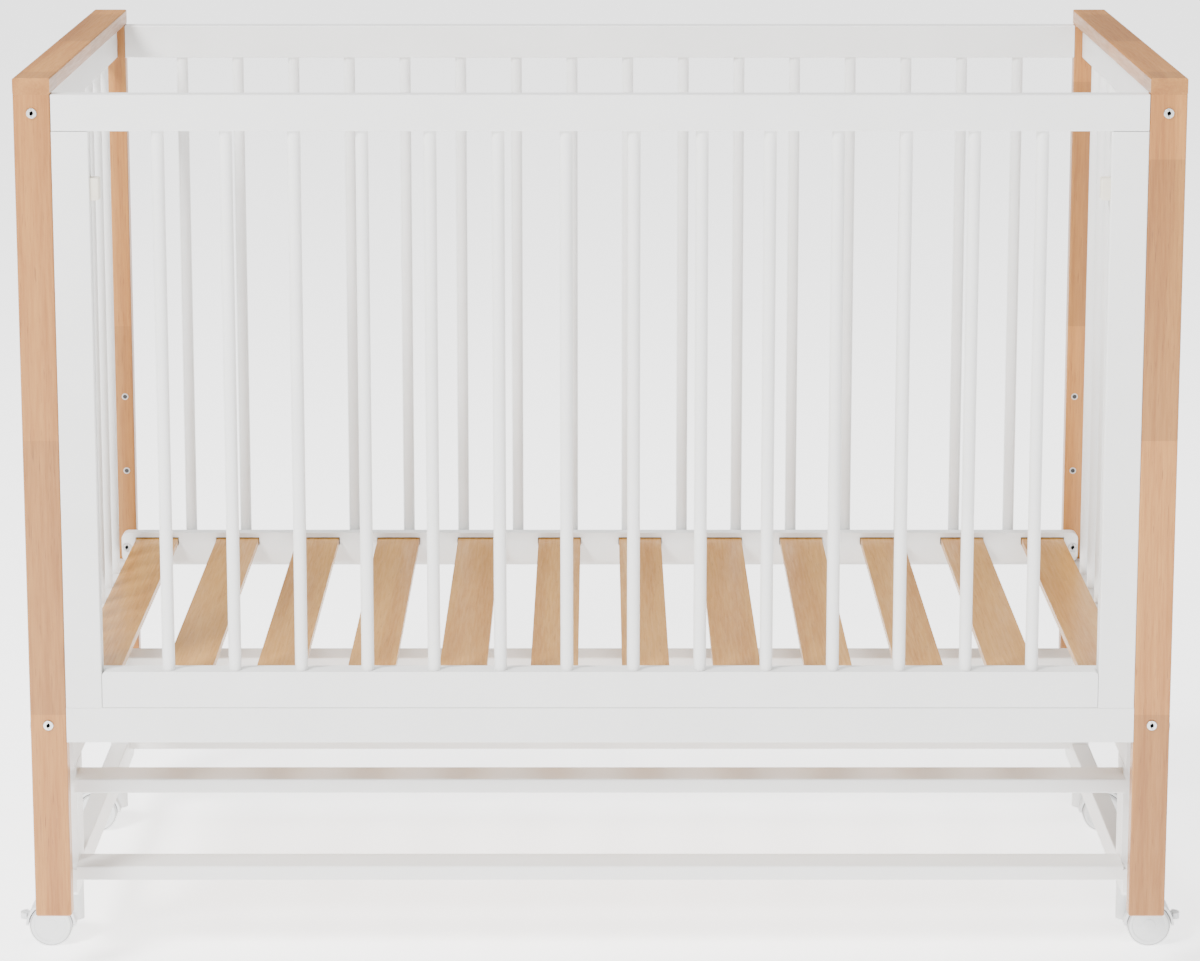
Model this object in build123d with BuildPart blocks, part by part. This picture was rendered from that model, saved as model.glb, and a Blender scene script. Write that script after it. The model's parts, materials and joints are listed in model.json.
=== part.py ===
from build123d import *
import os

os.makedirs("parts", exist_ok=True)

# Pendulum crib. Millimetres. The origin is on the floor at the middle of the footprint,
# +X along the crib, -Y towards its front, +Z up.

# Crib body, outside
body_length = 1258
body_depth = 646
body_height = 1018

# Posts and their caps
post_width = 40
post_depth = 20
post_bottom = 76
post_edge_radius = 2
post_foot_chamfer = 1.8
cap_thickness = 18
cap_edge_radius = 2

# Rails of the crib body
rail_height = 40
rail_thickness = 20
rail_edge_radius = 1.5
lower_rail_bottom = 278
back_bottom_rail_rise = 32
seam = 0.5

# Spindles
spindle_diameter = 14
hole_end_gap = 0.3
front_spindle_count = 14
back_spindle_count = 16
end_spindle_count = 8

# Sliding front gate and the stiles that guide it
stile_width = 40
gate_back_gap = 0.5
gate_bottom_rail_height = 40.5
gate_corner_radius = 4.5
groove_width = 8
groove_depth = 4.2
tongue_fit = 0.3
tongue_end_gap = 0.5

# Sprung latch buttons in the stiles
latch_height = 24
latch_depth = 14
latch_length = 25
latch_reach = 10
latch_travel = 14
latch_bottom = 885
latch_fit = 0.2
latch_corner_radius = 2
latch_pin_diameter = 2
latch_pin_length = 8.3
latch_pin_inset = 12
latch_slot_depth = 6
pocket_depth = 37
spring_diameter = 9
spring_bore = 7

# Mattress base
mattress_rail_thickness = 15
mattress_rail_height = 37.5
mattress_rail_reach = 17
mattress_rail_end_radius = 8
slat_count = 12
slat_pitch = 102
slat_width = 53
slat_thickness = 8
slat_end_gap = 1
slat_fit = 1
slat_rise = 0.3
slot_top_wall = 6
height_hole_inset = 10.5
height_hole_depth = 14
mattress_bolt_length = 27

# Base frame on the floor
frame_inner_x = 592
frame_thickness = 21
foot_rail_length = 514
foot_rail_bottom = 75
foot_rail_height = 32
foot_rail_chamfer = 5
upright_width = 45
upright_setback = 17
upright_height = 118
top_beam_height = 37
long_rail_depth = 43
long_rail_thickness = 17
upper_long_rail_bottom = 197
lower_long_rail_bottom = 94
long_rail_end_radius = 2

# Pendulum links
link_length = 90
link_width = 24
link_thickness = 4
link_side_gap = 1
pivot_height = 244
pivot_setback = 217
pivot_diameter = 8
pivot_fit = 0.08
pivot_anchor = 16
hanger_width = 30
hanger_thickness = 3
hanger_corner_radius = 8
hanger_drop = 14
hanger_top_inset = 4

# Bolts: plain barrels that pass a post and screw into a rail
bolt_diameter = 9
bolt_hole_fit = 0.2
bolt_grip = 42
bolt_stand = 0.5
top_bolt_drop = 20

# Twin-wheel casters
caster_setback = 62
caster_trail = 27
wheel_diameter = 49
wheel_width = 13
wheel_gap = 13
axle_diameter = 6
axle_inset = 2
axle_fit = 0.08
fender_gap = 1.3
fender_thickness = 2.8
fender_width = 40
web_width = 12
neck_diameter = 18
neck_bottom = 27
neck_top = 70
stem_diameter = 8
stem_fit = 0.08
stem_bottom = 42
stem_insert = 26
lever_pivot_offset = 19
lever_pivot_rise = 6
lever_pin_diameter = 2.5
lever_pin_fit = 0.1
lever_hub_diameter = 7
lever_arm_width = 7
lever_slot_width = 8
lever_slot_low = 20
lever_slot_high = 38
lever_tip_reach = 30
lever_tip_width = 15
lever_thickness = 7

# Places that follow from the sizes above
ends = {"left": -1, "right": 1}
sides = {"front": -1, "back": 1}
post_top = body_height - cap_thickness
post_x = (body_length - post_width) / 2
post_y = (body_depth - post_depth) / 2
inner_x = body_length / 2 - post_width
inner_y = body_depth / 2 - post_depth
lower_rail_top = lower_rail_bottom + rail_height
top_rail_bottom = post_top - rail_height
back_rail_bottom = lower_rail_bottom + back_bottom_rail_rise
back_rail_top = back_rail_bottom + rail_height
stile_inner_x = inner_x - stile_width
gate_half_width = stile_inner_x - seam
gate_bottom = lower_rail_top + seam
gate_rail_top = gate_bottom + gate_bottom_rail_height
gate_thickness = rail_thickness - gate_back_gap
gate_y = -body_depth / 2 + gate_thickness / 2
mattress_rail_bottom = lower_rail_top + seam
mattress_rail_top = mattress_rail_bottom + mattress_rail_height
slot_width = slat_width + 2 * slat_fit
slot_height = slat_thickness + 2 * slat_fit
slot_top = mattress_rail_top - slot_top_wall
slot_bottom = slot_top - slot_height
height_hole_x = inner_x + height_hole_inset
height_hole_z = mattress_rail_bottom + mattress_rail_height / 2
bolt_radius = bolt_diameter / 2
bolt_hole_radius = bolt_radius + bolt_hole_fit
top_bolt_z = post_top - top_bolt_drop
lower_bolt_z = lower_rail_bottom + rail_height / 2
frame_outer_x = frame_inner_x + frame_thickness
frame_x = frame_inner_x + frame_thickness / 2
foot_rail_top = foot_rail_bottom + foot_rail_height
upright_top = foot_rail_top + upright_height
top_beam_top = upright_top + top_beam_height
upright_y = foot_rail_length / 2 - upright_setback - upright_width / 2
long_rail_y = foot_rail_length / 2 - long_rail_depth / 2
wheel_radius = wheel_diameter / 2
stem_y = foot_rail_length / 2 - caster_setback
spring_length = pocket_depth - latch_length + latch_reach


def bar(x_range, y_range, z_range, mode=Mode.ADD):
    """A straight block between two places on each axis."""
    centre = [(low + high) / 2 for low, high in (x_range, y_range, z_range)]
    spans = [high - low for low, high in (x_range, y_range, z_range)]
    with Locations(tuple(centre)):
        Box(*spans, mode=mode)


def span(sign, near, far):
    """The range from near to far, on the side that the sign gives."""
    return tuple(sorted((sign * near, sign * far)))


def spread(count, width):
    """Places of equal steps, with a whole step before the first and after the last."""
    step = width / (count + 1)
    return [step * (index + 1) - width / 2 for index in range(count)]


def facing(point, direction):
    """A plane at a point whose normal is the direction that a hole opens to."""
    return Plane(origin=point, z_dir=direction)


def save(piece, name):
    piece.part.label = name
    export_step(piece.part, f"parts/{name}.step")


# Where the spindles stand
front_spindle_x = spread(front_spindle_count, 2 * stile_inner_x)
back_spindle_x = spread(back_spindle_count, 2 * inner_x)
end_spindle_y = spread(end_spindle_count, 2 * inner_y)
slat_x = [slat_pitch * (index - (slat_count - 1) / 2) for index in range(slat_count)]

# Where the bolts go along Y through the posts into the end rails
end_bolt_z = (top_bolt_z, lower_bolt_z)


def spindle_row(points, bottom, top):
    """Round spindles that stand between the rails below and above."""
    with BuildPart() as row:
        with BuildSketch(Plane.XY.offset(bottom)):
            with Locations(*points):
                Circle(spindle_diameter / 2)
        extrude(amount=top - bottom)
    return row


# Posts, with the holes of the rail bolts and of the bolt that holds the mattress base
for side, front in sides.items():
    for end, out in ends.items():
        with BuildPart() as post:
            bar(
                span(out, inner_x, body_length / 2),
                span(front, inner_y, body_depth / 2),
                (post_bottom, post_top),
            )
            fillet(post.edges().filter_by(Axis.Z), post_edge_radius)
            foot = post.faces().sort_by(Axis.Z)[0]
            chamfer(foot.edges(), post_foot_chamfer)
            outer_y = front * body_depth / 2
            with Locations(*[facing((out * post_x, outer_y, z), (0, front, 0)) for z in end_bolt_z]):
                Hole(bolt_hole_radius, post_depth)
            with Locations(facing((out * height_hole_x, front * inner_y, height_hole_z), (0, -front, 0))):
                Hole(bolt_hole_radius, height_hole_depth)
        save(post, f"post_{side}_{end}")

# Caps that tie each pair of posts at the top
for end, out in ends.items():
    with BuildPart() as cap:
        bar(
            span(out, inner_x, body_length / 2),
            (-body_depth / 2, body_depth / 2),
            (post_top, body_height),
        )
        fillet(cap.edges().filter_by(Axis.Y), cap_edge_radius)
    save(cap, f"cap_{end}")


def end_rail(out, bottom, bolt_z):
    """A rail between the posts of one end, bored for its bolts."""
    with BuildPart() as rail:
        bar(
            span(out, post_x - rail_thickness / 2, post_x + rail_thickness / 2),
            (-inner_y, inner_y),
            (bottom, bottom + rail_height),
        )
        fillet(rail.edges().filter_by(Axis.Y), rail_edge_radius)
        for front in sides.values():
            with Locations(facing((out * post_x, front * inner_y, bolt_z), (0, front, 0))):
                Hole(bolt_hole_radius, bolt_grip + hole_end_gap)
    return rail


# Ends of the crib body
for end, out in ends.items():
    save(end_rail(out, top_rail_bottom, top_bolt_z), f"end_top_rail_{end}")
    save(end_rail(out, lower_rail_bottom, lower_bolt_z), f"end_lower_rail_{end}")
    end_points = [(out * post_x, y) for y in end_spindle_y]
    save(spindle_row(end_points, lower_rail_top, top_rail_bottom), f"end_spindles_{end}")


def long_rail(front, bottom):
    """A rail between the posts of the front or the back."""
    with BuildPart() as rail:
        bar(
            (-inner_x, inner_x),
            span(front, inner_y, body_depth / 2),
            (bottom, bottom + rail_height),
        )
        fillet(rail.edges().filter_by(Axis.X), rail_edge_radius)
    return rail


# Fixed rails and spindles of the front and the back
save(long_rail(-1, lower_rail_bottom), "front_lower_rail")
save(long_rail(1, top_rail_bottom), "back_top_rail")
save(long_rail(1, back_rail_bottom), "back_bottom_rail")
back_points = [(x, post_y) for x in back_spindle_x]
save(spindle_row(back_points, back_rail_top, top_rail_bottom), "back_spindles")

# Front gate: a top rail over the stiles, a bottom rail with a guide tongue at each end
with BuildPart() as gate_top:
    bar(
        (seam - inner_x, inner_x - seam),
        (gate_y - gate_thickness / 2, gate_y + gate_thickness / 2),
        (top_rail_bottom + seam, post_top),
    )
    fillet(gate_top.edges().filter_by(Axis.X), rail_edge_radius)
save(gate_top, "gate_top_rail")

with BuildPart() as gate_foot:
    bar(
        (-gate_half_width, gate_half_width),
        (gate_y - gate_thickness / 2, gate_y + gate_thickness / 2),
        (gate_bottom, gate_rail_top),
    )
    upper_corners = gate_foot.edges().filter_by(Axis.Y).group_by(Axis.Z)[-1]
    fillet(upper_corners, gate_corner_radius)
    tongue_width = groove_width - 2 * tongue_fit
    for out in ends.values():
        bar(
            span(out, gate_half_width, stile_inner_x + groove_depth - tongue_end_gap),
            (-post_y - tongue_width / 2, -post_y + tongue_width / 2),
            (gate_bottom, gate_rail_top - gate_corner_radius),
        )
save(gate_foot, "gate_bottom_rail")

gate_points = [(x, gate_y) for x in front_spindle_x]
save(spindle_row(gate_points, gate_rail_top, top_rail_bottom + seam), "gate_spindles")

# Stiles, each with a guide groove, a pocket for the latch button and the hole of its pin
latch_z = latch_bottom + latch_height / 2
for end, out in ends.items():
    with BuildPart() as stile:
        bar(
            span(out, stile_inner_x, inner_x),
            (-body_depth / 2, -inner_y),
            (lower_rail_top, top_rail_bottom),
        )
        fillet(stile.edges().filter_by(Axis.Z), rail_edge_radius)
        bar(
            span(out, stile_inner_x, stile_inner_x + groove_depth),
            (-post_y - groove_width / 2, -post_y + groove_width / 2),
            (lower_rail_top, top_rail_bottom),
            Mode.SUBTRACT,
        )
        half_depth = latch_depth / 2 + latch_fit
        half_height = latch_height / 2 + latch_fit
        bar(
            span(out, stile_inner_x, stile_inner_x + pocket_depth),
            (-post_y - half_depth, -post_y + half_depth),
            (latch_z - half_height, latch_z + half_height),
            Mode.SUBTRACT,
        )
        pin_mouth = (out * (stile_inner_x + latch_pin_inset), -inner_y, latch_z)
        with Locations(facing(pin_mouth, (0, 1, 0))):
            Hole(latch_pin_diameter / 2 + pivot_fit, rail_thickness / 2)
    save(stile, f"stile_{end}")

# Latch buttons with a blind slot in the back, in which the pin stops them
for end, out in ends.items():
    with BuildPart() as button:
        button_start = stile_inner_x - latch_reach
        bar(
            span(out, button_start, button_start + latch_length),
            (-post_y - latch_depth / 2, -post_y + latch_depth / 2),
            (latch_bottom, latch_bottom + latch_height),
        )
        tip = button.faces().sort_by(Axis.X)[0 if out > 0 else -1]
        fillet(tip.edges(), latch_corner_radius)
        pin_room = latch_pin_diameter / 2 + latch_fit
        slot_far = stile_inner_x + latch_pin_inset + pin_room
        slot_near = slot_far - latch_travel - 2 * pin_room
        bar(
            span(out, slot_near, slot_far),
            (-post_y + latch_depth / 2 - latch_slot_depth, -post_y + latch_depth / 2),
            (latch_z - pin_room, latch_z + pin_room),
            Mode.SUBTRACT,
        )
    save(button, f"latch_{end}")

with BuildPart() as latch_pins:
    for out in ends.values():
        pin_place = (out * (stile_inner_x + latch_pin_inset), -inner_y - hole_end_gap, latch_z)
        with BuildSketch(facing(pin_place, (0, -1, 0))):
            Circle(latch_pin_diameter / 2)
        extrude(amount=latch_pin_length)
save(latch_pins, "latch_pins")

# Return springs behind the latch buttons, as sleeves of the size of the coils
spring_room = spring_length - 2 * hole_end_gap
with BuildPart() as latch_springs:
    for out in ends.values():
        spring_start = (out * (stile_inner_x + pocket_depth - hole_end_gap), -post_y, latch_z)
        with BuildSketch(facing(spring_start, (-out, 0, 0))):
            Circle(spring_diameter / 2)
            Circle(spring_bore / 2, mode=Mode.SUBTRACT)
        extrude(amount=spring_room)
save(latch_springs, "latch_springs")

# Side rails of the mattress base, with a slot for each slat
for side, front in sides.items():
    with BuildPart() as mattress_rail:
        bar(
            (-inner_x - mattress_rail_reach, inner_x + mattress_rail_reach),
            span(front, inner_y - mattress_rail_thickness, inner_y),
            (mattress_rail_bottom, mattress_rail_top),
        )
        fillet(mattress_rail.edges().filter_by(Axis.Y), mattress_rail_end_radius)
        with BuildSketch(Plane.XZ.offset(-front * inner_y)):
            with Locations(*[(x, (slot_bottom + slot_top) / 2) for x in slat_x]):
                Rectangle(slot_width, slot_height)
        extrude(amount=front * mattress_rail_thickness, mode=Mode.SUBTRACT)
        for out in ends.values():
            inner_face = (out * height_hole_x, front * (inner_y - mattress_rail_thickness), height_hole_z)
            with Locations(facing(inner_face, (0, -front, 0))):
                Hole(bolt_hole_radius, mattress_rail_thickness)
    save(mattress_rail, f"mattress_rail_{side}")

# Slats
slat_length = 2 * (inner_y - slat_end_gap)
slat_z = slot_bottom + slat_rise + slat_thickness / 2
with BuildPart() as slats:
    with BuildSketch(Plane.XZ.offset(slat_length / 2)):
        with Locations(*[(x, slat_z) for x in slat_x]):
            Rectangle(slat_width, slat_thickness)
    extrude(amount=-slat_length)
save(slats, "mattress_slats")


def disc(plane, radius, thickness):
    """A round disc on a plane; a negative thickness grows it below the plane."""
    with BuildSketch(plane) as outline:
        Circle(radius)
    extrude(outline.sketch, amount=thickness)


def bolt(end, direction, length):
    """A barrel bolt whose outer end faces the direction."""
    disc(facing(end, direction), bolt_radius, -length)


# Bolts of the crib body: those of the end rails, and those that hold the mattress base
with BuildPart() as body_bolts:
    for front in sides.values():
        for out in ends.values():
            for z in end_bolt_z:
                outer_end = (out * post_x, front * (body_depth / 2 + bolt_stand), z)
                bolt(outer_end, (0, front, 0), bolt_stand + post_depth + bolt_grip)
            inner_end = (out * height_hole_x, front * (inner_y - mattress_rail_thickness - bolt_stand), height_hole_z)
            bolt(inner_end, (0, -front, 0), mattress_bolt_length)
save(body_bolts, "body_bolts")


def link_edges(out):
    """Inner and outer X of a link, in the gap between the base frame and the hanger."""
    return out * (frame_outer_x + link_side_gap), out * (frame_outer_x + link_side_gap + link_thickness)


# Base frame: a foot rail, two uprights and a top beam at each end
for end, out in ends.items():
    frame_range = span(out, frame_inner_x, frame_outer_x)
    foot_half = foot_rail_length / 2
    with BuildPart() as foot_rail:
        bar(frame_range, (-foot_half, foot_half), (foot_rail_bottom, foot_rail_top))
        low_corners = foot_rail.edges().filter_by(Axis.X).group_by(Axis.Z)[0]
        chamfer(low_corners, foot_rail_chamfer)
        fillet(foot_rail.edges().filter_by(Axis.Y).group_by(Axis.Z)[-1], rail_edge_radius)
        stem_holes = [facing((out * frame_x, front * stem_y, foot_rail_bottom), (0, 0, -1)) for front in (-1, 1)]
        with Locations(*stem_holes):
            Hole(stem_diameter / 2 + stem_fit, stem_insert + hole_end_gap)
    save(foot_rail, f"foot_rail_{end}")

    with BuildPart() as top_beam:
        bar(frame_range, (-foot_half, foot_half), (upright_top, top_beam_top))
        fillet(top_beam.edges().filter_by(Axis.Y), rail_edge_radius)
        for front in sides.values():
            with Locations(facing((out * frame_outer_x, front * pivot_setback, pivot_height), (out, 0, 0))):
                Hole(pivot_diameter / 2 + pivot_fit, pivot_anchor + hole_end_gap)
    save(top_beam, f"base_top_beam_{end}")

upper_bolt_z = upper_long_rail_bottom + long_rail_thickness / 2
base_bolt_y = upright_y + bolt_diameter
with BuildPart() as uprights:
    for front in sides.values():
        for out in ends.values():
            bar(
                span(out, frame_inner_x, frame_outer_x),
                span(front, upright_y - upright_width / 2, upright_y + upright_width / 2),
                (foot_rail_top, upright_top),
            )
            upper_bolt = (out * frame_outer_x, front * base_bolt_y, upper_bolt_z)
            with Locations(facing(upper_bolt, (out, 0, 0))):
                Hole(bolt_hole_radius, frame_thickness)
save(uprights, "base_uprights")

# Long boards that join the two ends of the base frame
base_levels = {"upper": upper_long_rail_bottom, "lower": lower_long_rail_bottom}
for level, bottom in base_levels.items():
    for side, front in sides.items():
        with BuildPart() as board:
            bar(
                (-frame_inner_x, frame_inner_x),
                span(front, long_rail_y - long_rail_depth / 2, long_rail_y + long_rail_depth / 2),
                (bottom, bottom + long_rail_thickness),
            )
            fillet(board.edges().filter_by(Axis.X), long_rail_end_radius)
            if level == "upper":
                for out in ends.values():
                    with Locations(facing((out * frame_inner_x, front * base_bolt_y, upper_bolt_z), (out, 0, 0))):
                        Hole(bolt_hole_radius, bolt_grip + hole_end_gap)
        save(board, f"base_{level}_rail_{side}")

# Bolts of the base frame, flush with its outer faces
with BuildPart() as base_bolts:
    for front in sides.values():
        for out in ends.values():
            outer_end = (out * frame_outer_x, front * base_bolt_y, upper_bolt_z)
            bolt(outer_end, (out, 0, 0), frame_thickness + bolt_grip)
save(base_bolts, "base_bolts")

# Pendulum links: flat steel straps that hang from the top beams and carry the crib body
lower_pivot_z = pivot_height - link_length
for side, front in sides.items():
    for end, out in ends.items():
        inner_face_x, outer_face_x = link_edges(out)
        with BuildPart() as link:
            link_plane = Plane(origin=(inner_face_x, front * pivot_setback, 0), x_dir=(0, 1, 0), z_dir=(1, 0, 0))
            with BuildSketch(link_plane):
                with Locations((0, pivot_height - link_length / 2)):
                    SlotCenterToCenter(link_length, link_width, rotation=90)
            extrude(amount=out * link_thickness)
            for z in (pivot_height, lower_pivot_z):
                with Locations(facing((outer_face_x, front * pivot_setback, z), (out, 0, 0))):
                    Hole(pivot_diameter / 2 + pivot_fit, link_thickness)
        save(link, f"link_{side}_{end}")


# Upper pivot pins, fast in the top beams and flush with the links
with BuildPart() as upper_pivots:
    for front in sides.values():
        for out in ends.values():
            outer_end = (link_edges(out)[1], front * pivot_setback, pivot_height)
            disc(facing(outer_end, (out, 0, 0)), pivot_diameter / 2, -(link_side_gap + link_thickness + pivot_anchor))
save(upper_pivots, "upper_pivots")

# Hanger plates on the outer faces of the end rails, each with its lower pivot pin riveted in
hanger_inner_x = post_x + rail_thickness / 2
hanger_top = lower_rail_top - hanger_top_inset
plate_bottom = lower_pivot_z - hanger_drop
plate_height = hanger_top - plate_bottom
with BuildPart() as hangers:
    for front in sides.values():
        for out in ends.values():
            plate_plane = Plane(
                origin=(out * hanger_inner_x, front * pivot_setback, plate_bottom + plate_height / 2),
                x_dir=(0, 1, 0),
                z_dir=(1, 0, 0),
            )
            with BuildSketch(plate_plane):
                RectangleRounded(hanger_width, plate_height, hanger_corner_radius)
            extrude(amount=out * hanger_thickness)
            pin_end = (link_edges(out)[0], front * pivot_setback, lower_pivot_z)
            pin_length = hanger_inner_x + hanger_thickness - abs(pin_end[0])
            disc(facing(pin_end, (-out, 0, 0)), pivot_diameter / 2, -pin_length)
save(hangers, "hanger_plates")

# Caster stems: a pin in the foot rail and in the neck of the caster
with BuildPart() as stems:
    for front in sides.values():
        for out in ends.values():
            stem_plane = Plane((out * frame_x, front * stem_y, 0))
            stem_length = foot_rail_bottom + stem_insert - stem_bottom
            disc(stem_plane.offset(stem_bottom), stem_diameter / 2, stem_length)
save(stems, "caster_stems")

fender_inner = wheel_radius + fender_gap
fender_outer = fender_inner + fender_thickness


def hood(out, front):
    """Caster hood: a half-round fender over both wheels, a web between them and the neck."""
    wheel_x = out * (frame_x + caster_trail)
    caster_y = front * stem_y
    mid_plane = Plane(origin=(wheel_x, caster_y, wheel_radius), x_dir=(1, 0, 0), z_dir=(0, -1, 0))
    with BuildPart() as shell:
        with BuildSketch(mid_plane):
            Circle(fender_outer)
            with Locations((0, -fender_outer)):
                Rectangle(2 * fender_outer, 2 * fender_outer, mode=Mode.SUBTRACT)
        extrude(amount=fender_width / 2, both=True)
        with BuildSketch(Plane.XY.offset(neck_bottom)):
            with Locations((out * frame_x, caster_y)):
                Circle(neck_diameter / 2)
        extrude(amount=neck_top - neck_bottom)
        for way in (-1, 1):
            with BuildSketch(mid_plane.offset(way * web_width / 2)):
                Circle(fender_inner)
            extrude(amount=way * fender_width, mode=Mode.SUBTRACT)
        with BuildSketch(mid_plane):
            Circle(axle_diameter)
        extrude(amount=web_width / 2, both=True)
        with Locations(facing((out * frame_x, caster_y, neck_top), (0, 0, 1))):
            Hole(stem_diameter / 2 + stem_fit, neck_top - stem_bottom + hole_end_gap)
        with Locations(facing((wheel_x, caster_y - web_width / 2, wheel_radius), (0, -1, 0))):
            Hole(axle_diameter / 2, web_width)
        bar(
            span(out, abs(wheel_x) + lever_pivot_offset - lever_hub_diameter, abs(wheel_x) + 2 * fender_outer),
            (caster_y - lever_slot_width / 2, caster_y + lever_slot_width / 2),
            (lever_slot_low, lever_slot_high),
            Mode.SUBTRACT,
        )
        pin_centre = (wheel_x + out * lever_pivot_offset, caster_y, wheel_radius + lever_pivot_rise)
        with BuildSketch(facing(pin_centre, (0, 1, 0))):
            Circle(lever_pin_diameter / 2)
        extrude(amount=(lever_slot_width + web_width) / 4, both=True)
    return shell


def twin_wheels(out, front):
    """Two wheels on one axle, which turns in the web of the hood."""
    centre_x, centre_y = out * (frame_x + caster_trail), front * stem_y
    with BuildPart() as pair:
        for way in (-1, 1):
            inner_plane = facing((centre_x, centre_y + way * wheel_gap / 2, wheel_radius), (0, way, 0))
            with BuildSketch(inner_plane):
                Circle(wheel_radius)
                Circle(axle_diameter / 2, mode=Mode.SUBTRACT)
            extrude(amount=wheel_width)
        with BuildSketch(facing((centre_x, centre_y, wheel_radius), (0, 1, 0))):
            Circle(axle_diameter / 2 - axle_fit)
        extrude(amount=wheel_gap / 2 + wheel_width - axle_inset, both=True)
    return pair


def brake_lever(out, front):
    """Foot lever of the brake: a hub on its pin, an arm through the fender and a round tongue."""
    centre_x, centre_y = out * (frame_x + caster_trail), front * stem_y
    hub_x, hub_z = centre_x + out * lever_pivot_offset, wheel_radius + lever_pivot_rise
    side_plane = Plane(origin=(hub_x, centre_y, hub_z), x_dir=(1, 0, 0), z_dir=(0, -1, 0))
    reach = lever_tip_reach - lever_pivot_offset
    with BuildPart() as lever:
        with BuildSketch(side_plane):
            Circle(lever_hub_diameter / 2)
            with Locations((out * reach / 2, 0)):
                Rectangle(reach, lever_thickness)
            Circle(lever_pin_diameter / 2 + lever_pin_fit, mode=Mode.SUBTRACT)
        extrude(amount=lever_arm_width / 2, both=True)
        tongue_start = fender_outer + 1 - lever_pivot_offset
        with BuildSketch(Plane.XY.offset(hub_z - lever_thickness / 2)):
            with Locations((hub_x + out * reach, centre_y)):
                Circle(lever_tip_width / 2)
            with Locations((hub_x + out * (tongue_start - lever_tip_width / 2), centre_y)):
                Rectangle(lever_tip_width, 2 * lever_tip_width, mode=Mode.SUBTRACT)
        extrude(amount=lever_thickness)
    return lever


# Casters
for side, front in sides.items():
    for end, out in ends.items():
        save(hood(out, front), f"caster_hood_{side}_{end}")
        save(twin_wheels(out, front), f"caster_wheels_{side}_{end}")
        save(brake_lever(out, front), f"caster_brake_{side}_{end}")
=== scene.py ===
import json
import math

import bmesh
import bpy
from mathutils import Matrix, Vector


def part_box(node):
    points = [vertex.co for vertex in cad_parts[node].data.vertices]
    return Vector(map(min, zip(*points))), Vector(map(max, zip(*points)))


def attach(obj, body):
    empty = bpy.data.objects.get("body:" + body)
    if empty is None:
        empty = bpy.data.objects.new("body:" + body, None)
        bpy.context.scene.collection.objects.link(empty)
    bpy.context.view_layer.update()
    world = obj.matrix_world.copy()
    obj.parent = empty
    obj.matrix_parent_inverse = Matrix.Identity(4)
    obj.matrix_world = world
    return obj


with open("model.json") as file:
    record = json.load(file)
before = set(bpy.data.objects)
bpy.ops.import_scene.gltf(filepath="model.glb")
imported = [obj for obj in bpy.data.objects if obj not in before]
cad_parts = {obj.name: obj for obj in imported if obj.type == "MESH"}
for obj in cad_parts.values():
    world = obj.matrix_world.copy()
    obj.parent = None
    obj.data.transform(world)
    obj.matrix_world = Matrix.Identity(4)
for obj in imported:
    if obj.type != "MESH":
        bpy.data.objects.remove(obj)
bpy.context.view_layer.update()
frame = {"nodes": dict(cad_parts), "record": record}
nodes = frame["nodes"]

# The photograph's camera, in the part's frame
CAMERA_PLACE = (-0.0026, -4.1627, 1.5297)
CAMERA_PITCH_DOWN = math.radians(10.151)
CAMERA_LENS = 108.62
CAMERA_SHIFT = (0.0019, -0.2004)
SENSOR_WIDTH = 36.0
VIEW_DEPTH = 60.0

# Directions that a wood's grain runs in
ALONG_Y = (1.0, 0.045, 1.0)
ALONG_Z = (1.0, 1.0, 0.045)

# Grain of the woods: how fine each layer is, and its share of the colour
FIGURE_SCALE = 38.0
FIBRE_SCALE = 420.0
FLECK_SCALE = 900.0
KNOT_SCALE = 9.0
FIGURE_SHARE = 0.62
FIBRE_SHARE = 0.38
FLECK_SHARE = 0.45

# Tones of the glued blocks, and the step that keeps one side's blocks unlike the other's
BLOCK_TONES = (0.84, 1.1)
BLOCK_SHIFT = 17.3

# Small fasteners, in metres
HEAD_RADIUS = 0.0056
HEAD_THICKNESS = 0.0012
HEAD_WALL_SHARE = 0.7
HEAD_TOP_SHARE = 0.94
SOCKET_RADIUS = 0.0024
SOCKET_DEPTH = 0.001
SIDE_BOLT_DROP = 0.004
BOLT_STAND = 0.0005
HEIGHT_HOLE_X = 0.5995
HEIGHT_STEPS = (0.096, 0.192)
PIVOT_Y = 0.217
PLATE_SCREW_DROPS = (0.009, 0.027)
SLEEVE_RISE = 0.0005
SLEEVE_BORE = 0.0028
SLEEVE_RADIUS = 0.0042
SLEEVE_TOP_RADIUS = 0.0041
# The discs in the height sleeves are painted shade: near-black, they stand in for the shadow inside each
# hole.
HOLE_SHADE_RADIUS = 0.0027
HOLE_SHADE_RISE = 0.00015
SLEEVE_PROFILE = [
    (SLEEVE_BORE, 0.0),
    (SLEEVE_RADIUS, 0.0),
    (SLEEVE_TOP_RADIUS, SLEEVE_RISE),
    (SLEEVE_BORE, SLEEVE_RISE),
    (SLEEVE_BORE, 0.0),
]
HOLE_SHADE_PROFILE = [(0.0, 0.0), (HOLE_SHADE_RADIUS, 0.0), (HOLE_SHADE_RADIUS, HOLE_SHADE_RISE), (0.0, HOLE_SHADE_RISE)]

# Discs on the caster wheels, and their profile as shares of the radius and of the rise
HUB_RADIUS = 0.0226
HUB_RISE = 0.0011
HUB_SHARES = [
    (0.0, 0.6), (0.3, 0.6), (0.34, 0.25), (0.82, 0.25), (0.88, 1.0),
    (0.97, 1.0), (1.0, 0.7), (1.0, 0.0), (0.0, 0.0),
]

# The studio. A lamp has its place, what it points at, its width in metres and its watts
FLOOR_HALF = 30.0
FLOOR_GLOW = 2.2
AIR_STRENGTH = 0.38
CRIB_MIDDLE = (0, 0, 0.5)
MATTRESS_LEVEL = (0, 0, 0.4)
LAMPS = {
    "key_light": ((-2.6, -3.2, 4.2), CRIB_MIDDLE, 1.6, 560),
    "fill_light": ((3.2, -2.8, 2.6), CRIB_MIDDLE, 2.6, 50),
    "top_light": ((0, 0.8, 4.5), MATTRESS_LEVEL, 2.6, 170),
}


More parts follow.
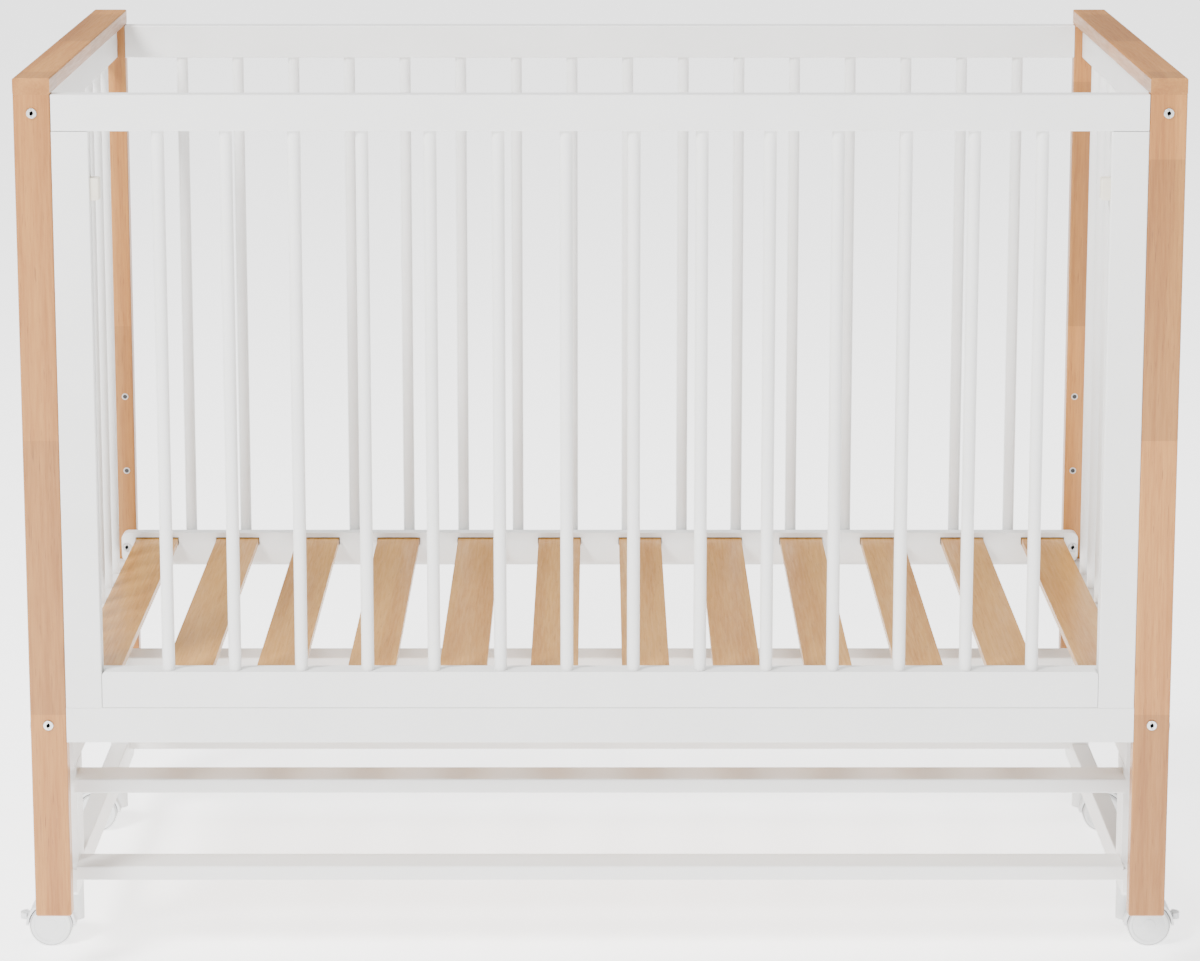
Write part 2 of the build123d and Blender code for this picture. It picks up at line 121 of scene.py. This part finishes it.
def shader_group(name, inputs, outputs):
    """A shader node group with named sockets, and its input and output nodes."""
    tree = bpy.data.node_groups.new(name, "ShaderNodeTree")
    for label, kind, value in inputs:
        socket = tree.interface.new_socket(name=label, in_out="INPUT", socket_type=kind)
        if value is not None:
            socket.default_value = value
    for label, kind in outputs:
        tree.interface.new_socket(name=label, in_out="OUTPUT", socket_type=kind)
    return tree, tree.nodes.new("NodeGroupInput"), tree.nodes.new("NodeGroupOutput")


def add(tree, kind, values=(), **settings):
    """A node with its settings and the values of its input sockets."""
    node = tree.nodes.new(kind)
    for key, value in settings.items():
        setattr(node, key, value)
    for key, value in dict(values).items():
        node.inputs[key].default_value = value
    return node


def mix(tree, factor, first, second, blend="MIX"):
    """A colour mix of two sockets; the result's socket."""
    node = add(tree, "ShaderNodeMix", data_type="RGBA", blend_type=blend)
    tree.links.new(factor, node.inputs[0])
    tree.links.new(first, node.inputs[6])
    tree.links.new(second, node.inputs[7])
    return node.outputs[2]


def ramp(tree, source, low, high, low_value=0.0, high_value=1.0):
    """A value mapped from one range onto another, held at its ends."""
    values = {"From Min": low, "From Max": high, "To Min": low_value, "To Max": high_value}
    node = add(tree, "ShaderNodeMapRange", values)
    tree.links.new(source, node.inputs["Value"])
    return node.outputs[0]


def maths(tree, operation, first, second):
    """Arithmetic of a socket with a socket or a number."""
    node = add(tree, "ShaderNodeMath", operation=operation)
    for place, value in enumerate((first, second)):
        if isinstance(value, (int, float)):
            node.inputs[place].default_value = value
        else:
            tree.links.new(value, node.inputs[place])
    return node.outputs[0]


def noise(tree, vector, scale, detail=4.0, roughness=0.55):
    """The value socket of a noise texture."""
    node = add(tree, "ShaderNodeTexNoise", {"Scale": scale, "Detail": detail, "Roughness": roughness})
    tree.links.new(vector, node.inputs["Vector"])
    return node.outputs[0]


def make_grain_group():
    """Fine grain, broad figure, short dark flecks and the odd knot of a lacquered hardwood."""
    tree, source, sink = shader_group(
        "wood_grain",
        [
            ("Vector", "NodeSocketVector", None),
            ("Light", "NodeSocketColor", (0.8, 0.5, 0.3, 1)),
            ("Dark", "NodeSocketColor", (0.5, 0.3, 0.15, 1)),
            ("Knot", "NodeSocketColor", (0.2, 0.1, 0.05, 1)),
            ("Knots", "NodeSocketFloat", 0.0),
        ],
        [("Color", "NodeSocketColor"), ("Roughness", "NodeSocketFloat"), ("Height", "NodeSocketFloat")],
    )
    vector = source.outputs["Vector"]
    figure = ramp(tree, noise(tree, vector, FIGURE_SCALE, 3.0), 0.36, 0.66)
    fibre = ramp(tree, noise(tree, vector, FIBRE_SCALE, 5.0, 0.65), 0.38, 0.64)
    fleck = ramp(tree, noise(tree, vector, FLECK_SCALE, 2.0, 0.5), 0.63, 0.72)
    broad = maths(tree, "MULTIPLY", figure, FIGURE_SHARE)
    fine = maths(tree, "MULTIPLY", fibre, FIBRE_SHARE)
    blend = maths(tree, "ADD", broad, fine)
    colour = mix(tree, blend, source.outputs["Light"], source.outputs["Dark"])
    colour = mix(tree, maths(tree, "MULTIPLY", fleck, FLECK_SHARE), colour, source.outputs["Knot"])
    cells = add(tree, "ShaderNodeTexVoronoi", {"Scale": KNOT_SCALE})
    tree.links.new(vector, cells.inputs["Vector"])
    knot = ramp(tree, cells.outputs["Distance"], 0.05, 0.12, 1.0, 0.0)
    knotty = maths(tree, "MULTIPLY", knot, source.outputs["Knots"])
    colour = mix(tree, knotty, colour, source.outputs["Knot"])
    tree.links.new(colour, sink.inputs["Color"])
    tree.links.new(ramp(tree, fibre, 0.0, 1.0, 0.36, 0.5), sink.inputs["Roughness"])
    tree.links.new(blend, sink.inputs["Height"])
    return tree


def make_surface_group():
    """Slight mottle and orange peel of paint, moulded plastic or plated steel."""
    tree, source, sink = shader_group(
        "sprayed_surface",
        [
            ("Vector", "NodeSocketVector", None),
            ("Base", "NodeSocketColor", (0.9, 0.9, 0.9, 1)),
            ("Shade", "NodeSocketColor", (0.8, 0.8, 0.8, 1)),
            ("Grit", "NodeSocketFloat", 500.0),
            ("Smooth", "NodeSocketFloat", 0.32),
        ],
        [("Color", "NodeSocketColor"), ("Roughness", "NodeSocketFloat"), ("Height", "NodeSocketFloat")],
    )
    vector = source.outputs["Vector"]
    mottle = ramp(tree, noise(tree, vector, 14.0, 4.0), 0.35, 0.75)
    peel_node = add(tree, "ShaderNodeTexNoise", {"Detail": 3.0})
    tree.links.new(vector, peel_node.inputs["Vector"])
    tree.links.new(source.outputs["Grit"], peel_node.inputs["Scale"])
    peel = peel_node.outputs[0]
    colour = mix(tree, mottle, source.outputs["Base"], source.outputs["Shade"])
    tree.links.new(colour, sink.inputs["Color"])
    uneven = maths(tree, "MULTIPLY", peel, 0.14)
    tree.links.new(maths(tree, "ADD", source.outputs["Smooth"], uneven), sink.inputs["Roughness"])
    tree.links.new(peel, sink.inputs["Height"])
    return tree


def start_material(name, stretch=(1.0, 1.0, 1.0), offset=(0.0, 0.0, 0.0)):
    """A new material, its tree and shader, and its object coordinates mapped and plain."""
    material = bpy.data.materials.new(name)
    material.use_nodes = True
    tree = material.node_tree
    shader = tree.nodes["Principled BSDF"]
    coordinates = add(tree, "ShaderNodeTexCoord")
    mapping = add(tree, "ShaderNodeMapping", {"Scale": stretch, "Location": offset})
    tree.links.new(coordinates.outputs["Object"], mapping.inputs["Vector"])
    return material, tree, shader, mapping.outputs[0], coordinates.outputs["Object"]


def raise_bump(tree, shader, height, distance, strength):
    """Relief from a height socket, on the shader's normal."""
    bump = add(tree, "ShaderNodeBump", {"Strength": strength, "Distance": distance})
    tree.links.new(height, bump.inputs["Height"])
    tree.links.new(bump.outputs[0], shader.inputs["Normal"])


def wood(name, grain, stretch, offset, light, dark, knot, knots=0.0, block=None, coat=0.25):
    """Lacquered wood. A block gives the axis and length of the finger-jointed pieces it is glued from."""
    material, tree, shader, vector, plain = start_material(name, stretch, offset)
    group = add(tree, "ShaderNodeGroup", node_tree=grain)
    group.inputs["Light"].default_value = (*light, 1)
    group.inputs["Dark"].default_value = (*dark, 1)
    group.inputs["Knot"].default_value = (*knot, 1)
    group.inputs["Knots"].default_value = knots
    tree.links.new(vector, group.inputs["Vector"])
    colour = group.outputs["Color"]
    if block:
        axis, length = block
        split = add(tree, "ShaderNodeSeparateXYZ")
        tree.links.new(plain, split.inputs[0])
        step = maths(tree, "FLOOR", maths(tree, "DIVIDE", split.outputs[axis], length), 0.0)
        side = maths(tree, "SIGN", split.outputs[0 if axis == 2 else 1], 0.0)
        dice = add(tree, "ShaderNodeTexWhiteNoise", noise_dimensions="1D")
        apart = maths(tree, "MULTIPLY", side, BLOCK_SHIFT)
        tree.links.new(maths(tree, "ADD", step, apart), dice.inputs["W"])
        tone = add(tree, "ShaderNodeHueSaturation")
        tree.links.new(ramp(tree, dice.outputs[0], 0.0, 1.0, *BLOCK_TONES), tone.inputs["Value"])
        tree.links.new(colour, tone.inputs["Color"])
        colour = tone.outputs[0]
    tree.links.new(colour, shader.inputs["Base Color"])
    tree.links.new(group.outputs["Roughness"], shader.inputs["Roughness"])
    shader.inputs["Coat Weight"].default_value = coat
    shader.inputs["Coat Roughness"].default_value = 0.25
    raise_bump(tree, shader, group.outputs["Height"], 0.0003, 0.35)
    return material


def sprayed(name, surface, base, shade, grit, smooth, depth, stretch=(1.0, 1.0, 1.0)):
    """Satin paint or moulded plastic."""
    material, tree, shader, vector, _ = start_material(name, stretch)
    group = add(tree, "ShaderNodeGroup", node_tree=surface)
    group.inputs["Base"].default_value = (*base, 1)
    group.inputs["Shade"].default_value = (*shade, 1)
    group.inputs["Grit"].default_value = grit
    group.inputs["Smooth"].default_value = smooth
    tree.links.new(vector, group.inputs["Vector"])
    tree.links.new(group.outputs["Color"], shader.inputs["Base Color"])
    tree.links.new(group.outputs["Roughness"], shader.inputs["Roughness"])
    raise_bump(tree, shader, group.outputs["Height"], depth, 0.3)
    return material


def zinc(name, surface, base, shade):
    """Zinc-plated steel with a fine brushed grain."""
    material = sprayed(name, surface, base, shade, 1600.0, 0.28, 0.0001, (1.0, 1.0, 0.15))
    material.node_tree.nodes["Principled BSDF"].inputs["Metallic"].default_value = 1.0
    return material


def turned_piece(name, body, profile, place, normal, material):
    """A round piece from a profile of (radius, height) points, spun about the normal at its place."""
    mesh = bmesh.new()
    points = [mesh.verts.new((radius, 0.0, height)) for radius, height in profile]
    edges = [mesh.edges.new(pair) for pair in zip(points, points[1:])]
    bmesh.ops.spin(
        mesh, geom=points + edges, cent=(0, 0, 0), axis=(0, 0, 1), angle=math.tau, steps=32, use_merge=True
    )
    bmesh.ops.remove_doubles(mesh, verts=mesh.verts, dist=1e-6)
    bmesh.ops.recalc_face_normals(mesh, faces=mesh.faces)
    return finish_piece(mesh, name, body, place, normal, material)


def finish_piece(mesh, name, body, place, normal, material):
    """The object of a bmesh, turned so that +Z becomes the normal, and placed in its mesh."""
    turn = Vector((0, 0, 1)).rotation_difference(Vector(normal)).to_matrix().to_4x4()
    bmesh.ops.transform(mesh, matrix=Matrix.Translation(place) @ turn, verts=mesh.verts)
    data = bpy.data.meshes.new(name)
    mesh.to_mesh(data)
    mesh.free()
    data.materials.append(material)
    piece = bpy.data.objects.new(name, data)
    bpy.context.scene.collection.objects.link(piece)
    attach(piece, body)
    return piece


def socket_head(name, body, place, normal, metal):
    """A thin round bolt face with an eased rim and a hexagon socket."""
    mesh = bmesh.new()
    rim = bmesh.ops.create_circle(mesh, segments=24, radius=HEAD_RADIUS)["verts"]
    rim_edges = list({edge for vert in rim for edge in vert.link_edges})
    wall = bmesh.ops.extrude_edge_only(mesh, edges=rim_edges)["geom"]
    upper = [item for item in wall if isinstance(item, bmesh.types.BMVert)]
    bmesh.ops.translate(mesh, vec=(0, 0, HEAD_THICKNESS * HEAD_WALL_SHARE), verts=upper)
    upper_edges = [item for item in wall if isinstance(item, bmesh.types.BMEdge)
                   and all(vert in upper for vert in item.verts)]
    ease = bmesh.ops.extrude_edge_only(mesh, edges=upper_edges)["geom"]
    top = [item for item in ease if isinstance(item, bmesh.types.BMVert)]
    bmesh.ops.translate(mesh, vec=(0, 0, HEAD_THICKNESS * (1 - HEAD_WALL_SHARE)), verts=top)
    bmesh.ops.scale(mesh, vec=(HEAD_TOP_SHARE, HEAD_TOP_SHARE, 1), verts=top)
    top_edges = [item for item in ease if isinstance(item, bmesh.types.BMEdge)
                 and all(vert in top for vert in item.verts)]
    socket = bmesh.ops.create_circle(mesh, segments=6, radius=SOCKET_RADIUS)["verts"]
    bmesh.ops.translate(mesh, vec=(0, 0, HEAD_THICKNESS), verts=socket)
    socket_edges = list({edge for vert in socket for edge in vert.link_edges})
    bmesh.ops.bridge_loops(mesh, edges=top_edges + socket_edges)
    walls = bmesh.ops.extrude_edge_only(mesh, edges=socket_edges)["geom"]
    floor_verts = [item for item in walls if isinstance(item, bmesh.types.BMVert)]
    bmesh.ops.translate(mesh, vec=(0, 0, -SOCKET_DEPTH), verts=floor_verts)
    floor_edges = [item for item in walls if isinstance(item, bmesh.types.BMEdge)
                   and all(vert in floor_verts for vert in item.verts)]
    bmesh.ops.edgeloop_fill(mesh, edges=floor_edges)
    bmesh.ops.edgeloop_fill(mesh, edges=rim_edges)
    bmesh.ops.recalc_face_normals(mesh, faces=mesh.faces)
    return finish_piece(mesh, name, body, place, normal, metal)


def dress(names, material):
    """One material on every slot of the named CAD nodes."""
    for name in names:
        for slot in nodes[name].material_slots:
            slot.material = material


grain = make_grain_group()
surface = make_surface_group()
BEECH = {"light": (0.45, 0.195, 0.040), "dark": (0.285, 0.100, 0.015), "knot": (0.09, 0.022, 0.004)}
PLY = {"light": (0.52, 0.27, 0.065), "dark": (0.38, 0.165, 0.032), "knot": (0.15, 0.05, 0.012)}
beech_upright = wood("beech_upright", grain, ALONG_Z, (0, 0, 0.3), **BEECH, knots=0.75, block=(2, 0.31))
beech_cap = wood("beech_cap", grain, ALONG_Y, (0.4, 0, 0), **BEECH, knots=0.2, block=(1, 0.27))
slat_ply = wood("slat_ply", grain, ALONG_Y, (0.9, 0.2, 0), **PLY, knots=0.1)
white_paint = sprayed("white_paint", surface, (0.80, 0.80, 0.79), (0.765, 0.765, 0.75), 420.0, 0.3, 0.0001)
caster_white = sprayed("caster_white", surface, (0.74, 0.75, 0.75), (0.66, 0.67, 0.67), 900.0, 0.36, 0.0001)
tread_grey = sprayed("tread_grey", surface, (0.56, 0.56, 0.555), (0.48, 0.48, 0.475), 1100.0, 0.5, 0.0001)
latch_cream = sprayed("latch_cream", surface, (0.78, 0.73, 0.62), (0.70, 0.65, 0.54), 900.0, 0.4, 0.0001)
# Near-black paint for the discs in the height holes: painted shade inside the holes.
painted_hole_shade = sprayed("painted_hole_shade", surface, (0.03, 0.03, 0.03), (0.05, 0.05, 0.05), 1200.0, 0.6, 0.0001)
bright_zinc = zinc("bright_zinc", surface, (0.72, 0.72, 0.71), (0.55, 0.55, 0.55))

finishes = {
    "beech": beech_upright,
    "white_wood": white_paint,
    "birch_ply": slat_ply,
    "steel": bright_zinc,
    "caster_plastic": caster_white,
    "latch_plastic": latch_cream,
}
for part in frame["record"]["subparts"]:
    dress([part["node"]], finishes[part["material_slot"]])
dress(["cap_left", "cap_right"], beech_cap)
dress([name for name in nodes if name.startswith("caster_wheels")], tread_grey)

# Faces of the bolts in the posts, over the bolt ends
post_low, post_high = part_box("post_front_left")
post_middle = (post_low[0] + post_high[0]) / 2
top_low, top_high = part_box("end_top_rail_left")
foot_low, foot_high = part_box("end_lower_rail_left")
# The top bolt is level with the middle of the top rail, the lower one with that of the lower rail
bolt_levels = {"upper": (top_low[2] + top_high[2]) / 2, "lower": (foot_low[2] + foot_high[2]) / 2}
bolt_low, bolt_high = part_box("body_bolts")
for side, outer_y, facing in (("front", bolt_low[1], -1), ("back", bolt_high[1], 1)):
    for end, out in (("left", 1), ("right", -1)):
        for level, height in bolt_levels.items():
            place = (post_middle * out, outer_y, height)
            head = socket_head(f"bolt_face_{side}_{end}_{level}", "crib", place, (0, facing, 0), bright_zinc)

# Faces of the side bolts, of the mattress bolts and of the hanger plates' screws
rail_low, rail_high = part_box("mattress_rail_front")
_, plates_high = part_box("hanger_plates")
front_middle = (post_low[1] + post_high[1]) / 2
back_rail_low, back_rail_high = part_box("back_bottom_rail")
side_levels = {
    "front": {"lower": bolt_levels["lower"] - SIDE_BOLT_DROP},
    "back": {
        "lower": (back_rail_low[2] + back_rail_high[2]) / 2 - SIDE_BOLT_DROP,
        "upper": bolt_levels["upper"] - 2 * SIDE_BOLT_DROP,
    },
}
for side, facing in (("front", -1), ("back", 1)):
    for end, out in (("left", -1), ("right", 1)):
        for level, height in side_levels[side].items():
            place = (-post_low[0] * out, -front_middle * facing, height)
            head = socket_head(f"side_bolt_{side}_{end}_{level}", "crib", place, (out, 0, 0), bright_zinc)
        height = (rail_low[2] + rail_high[2]) / 2
        place = (out * HEIGHT_HOLE_X, facing * (-rail_high[1] - BOLT_STAND), height)
        head = socket_head(f"mattress_bolt_{side}_{end}", "crib", place, (0, -facing, 0), bright_zinc)
        for row, rise in enumerate(PLATE_SCREW_DROPS):
            place = (out * plates_high[0], facing * PIVOT_Y, plates_high[2] - rise)
            head = socket_head(f"plate_screw_{side}_{end}_{row}", "crib", place, (out, 0, 0), bright_zinc)
        for row, rise in enumerate(HEIGHT_STEPS):
            place = (out * HEIGHT_HOLE_X, -facing * post_high[1], height + rise)
            sleeve = turned_piece(
                f"height_sleeve_{side}_{end}_{row}", "crib", SLEEVE_PROFILE,
                place, (0, -facing, 0), bright_zinc,
            )
            # A near-black disc in the sleeve's bore: painted shade inside the height hole.
            hole_shade_disc = turned_piece(
                f"height_eye_{side}_{end}_{row}", "crib", HOLE_SHADE_PROFILE,
                place, (0, -facing, 0), painted_hole_shade,
            )

# Raised discs on the outer faces of the caster wheels
hub_profile = [(HUB_RADIUS * across, HUB_RISE * up) for across, up in HUB_SHARES]
for side in ("front", "back"):
    for end in ("left", "right"):
        low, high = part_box(f"caster_wheels_{side}_{end}")
        centre_x, centre_z = (low[0] + high[0]) / 2, (low[2] + high[2]) / 2
        for face, y, way in (("near", low[1], -1), ("far", high[1], 1)):
            name = f"wheel_disc_{side}_{end}_{face}"
            disc = turned_piece(
                name, f"wheels_{side}_{end}", hub_profile, (centre_x, y, centre_z), (0, way, 0), caster_white
            )


def stage_floor():
    """A wide, level, pale floor."""
    mesh = bmesh.new()
    bmesh.ops.create_grid(mesh, x_segments=4, y_segments=4, size=FLOOR_HALF)
    data = bpy.data.meshes.new("studio_floor")
    mesh.to_mesh(data)
    mesh.free()
    pale = sprayed("studio_pale", surface, (0.92, 0.92, 0.92), (0.91, 0.91, 0.91), 60.0, 0.7, 0.0001)
    glow = pale.node_tree.nodes["Principled BSDF"]
    glow.inputs["Emission Color"].default_value = (1.0, 1.0, 1.0, 1)
    glow.inputs["Emission Strength"].default_value = FLOOR_GLOW
    data.materials.append(pale)
    floor = bpy.data.objects.new("studio_floor", data)
    bpy.context.scene.collection.objects.link(floor)


def soft_light(name, place, target, width, watts):
    """A round soft light that points at its target."""
    lamp = bpy.data.lights.new(name, "AREA")
    lamp.shape = "DISK"
    lamp.size = width
    lamp.energy = watts
    holder = bpy.data.objects.new(name, lamp)
    holder.location = place
    aim = Vector(target) - Vector(place)
    holder.rotation_euler = aim.to_track_quat("-Z", "Y").to_euler()
    bpy.context.scene.collection.objects.link(holder)


stage_floor()
for lamp_name, settings in LAMPS.items():
    soft_light(lamp_name, *settings)

world = bpy.data.worlds.new("studio_air")
world.use_nodes = True
world.node_tree.nodes["Background"].inputs["Color"].default_value = (1.0, 1.0, 1.0, 1)
world.node_tree.nodes["Background"].inputs["Strength"].default_value = AIR_STRENGTH
bpy.context.scene.world = world

camera_data = bpy.data.cameras.new("photo_camera")
camera_data.lens = CAMERA_LENS
camera_data.sensor_width = SENSOR_WIDTH
camera_data.sensor_fit = "HORIZONTAL"
camera_data.shift_x, camera_data.shift_y = CAMERA_SHIFT
camera_data.clip_end = VIEW_DEPTH
camera = bpy.data.objects.new("photo_camera", camera_data)
camera.location = CAMERA_PLACE
camera.rotation_euler = (math.pi / 2 - CAMERA_PITCH_DOWN, 0, 0)
bpy.context.scene.collection.objects.link(camera)
bpy.context.scene.camera = camera
